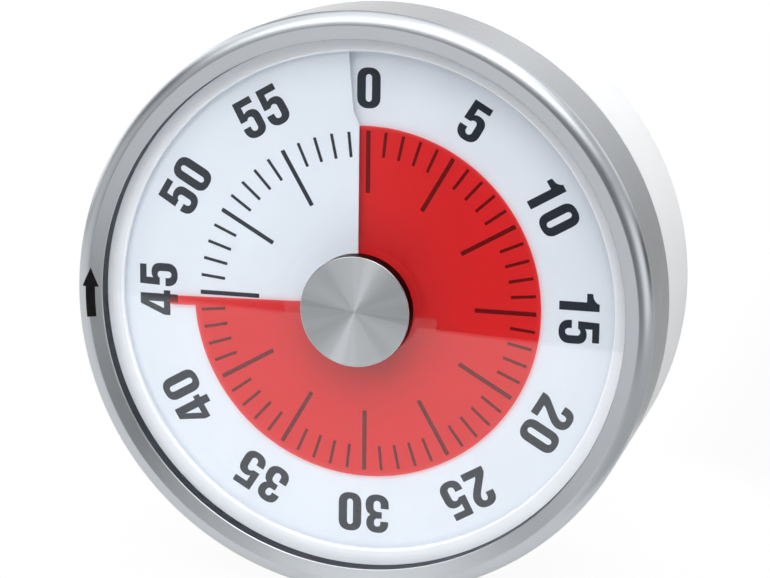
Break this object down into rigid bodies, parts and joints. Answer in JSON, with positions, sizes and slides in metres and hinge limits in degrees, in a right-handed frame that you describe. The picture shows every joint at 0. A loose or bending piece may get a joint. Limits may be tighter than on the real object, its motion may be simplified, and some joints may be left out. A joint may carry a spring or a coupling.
{
  "type": "countdown timer",
  "caption": "Round clockwork countdown timer with a steel ring, clear window, knob, white dial and a red film that shows the minutes left.",
  "frame": {"origin": "centre of the flat magnetic back face", "axes": "dial faces -Y, +Z points to zero minutes at the top of the dial, +X to fifteen minutes"},
  "size_m": [0.08, 0.0328, 0.08],
  "materials": {
    "ring_steel": "spun and finely brushed round the ring",
    "knob_steel": "turned face with fine circular brushing",
    "clear_window": "polished clear acrylic",
    "white_plastic": "satin white",
    "dark_plastic": "moulded, satin",
    "red_film": "smooth translucent film",
    "dial_white": "printed sheet, satin",
    "case_white": "moulded, fine satin",
    "magnet": "ground ferrite",
    "brass": "blanked and brushed",
    "plate_brass": "blanked plate",
    "bright_steel": "turned",
    "dark_steel": "oiled",
    "spring_steel": "blued strip",
    "bell_steel": "nickel plated"
  },
  "bodies": {
    "fixed_case": {"case": "case_white", "rear_cover": "case_white", "cover_screws": "bright_steel", "magnets": "magnet", "dial_face": "dial_white", "dial_carrier": "white_plastic", "carrier_screws": "bright_steel", "rear_plate": "plate_brass", "front_plate": "plate_brass", "pillars": "brass", "movement_screws": "bright_steel", "mainspring": "spring_steel", "spring_post": "bright_steel", "bell": "bell_steel", "bell_screw": "bright_steel"},
    "setting_ring": {"bezel_ring": "ring_steel", "window": "clear_window", "window_carrier": "white_plastic", "knob_cap": "knob_steel", "knob_core": "dark_plastic", "film_hub": "white_plastic", "spindle": "bright_steel", "main_wheel": "brass", "clutch_spring": "bright_steel", "trip_cam": "bright_steel"},
    "film": {"red_film": "red_film"},
    "second_group": {"second_arbor": "bright_steel", "second_wheel": "brass"},
    "third_group": {"third_arbor": "bright_steel", "third_wheel": "brass"},
    "escape_group": {"escape_arbor": "bright_steel", "escape_wheel": "brass"},
    "balance_group": {"balance_staff": "bright_steel", "balance_wheel": "brass", "pallet_anchor": "bright_steel"},
    "striker": {"strike_arbor": "bright_steel", "hammer": "dark_steel", "cam_follower": "bright_steel"}
  },
  "joints": [
    {"name": "winding", "type": "hinge", "parent": "fixed_case", "child": "setting_ring", "pos_m": [0, -0.027, 0], "axis": [0, 1, 0], "range_deg": [-268.5, 91.5]},
    {"name": "film_climb", "type": "slide", "parent": "setting_ring", "child": "film", "axis": [0, -1, 0], "range_m": [-0.00076, 0.00027]},
    {"name": "second_turn", "type": "hinge", "parent": "fixed_case", "child": "second_group", "pos_m": [-0.01713, -0.014, -0.00623], "axis": [0, 1, 0], "range_deg": [-740, 2160]},
    {"name": "third_turn", "type": "hinge", "parent": "fixed_case", "child": "third_group", "pos_m": [-0.01057, -0.014, -0.01815], "axis": [0, 1, 0], "range_deg": [-16200, 5580]},
    {"name": "escape_turn", "type": "hinge", "parent": "fixed_case", "child": "escape_group", "pos_m": [-0.00134, -0.014, -0.02146], "axis": [0, 1, 0], "range_deg": [-33120, 97200]},
    {"name": "balance_swing", "type": "hinge", "parent": "fixed_case", "child": "balance_group", "pos_m": [0.00626, -0.014, -0.02151], "axis": [0, 1, 0], "range_deg": [-8, 8]},
    {"name": "strike", "type": "hinge", "parent": "fixed_case", "child": "striker", "pos_m": [0.013, -0.014, 0.02252], "axis": [0, 1, 0], "range_deg": [-6, 6], "stiffness_Nm_per_rad": 0.002}
  ],
  "couplings": [
    {"joint": "film_climb", "follows": "winding", "m_per_rad": 0.00015915},
    {"joint": "second_turn", "follows": "winding", "ratio": -8},
    {"joint": "third_turn", "follows": "winding", "ratio": 60},
    {"joint": "escape_turn", "follows": "winding", "ratio": -360}
  ]
}
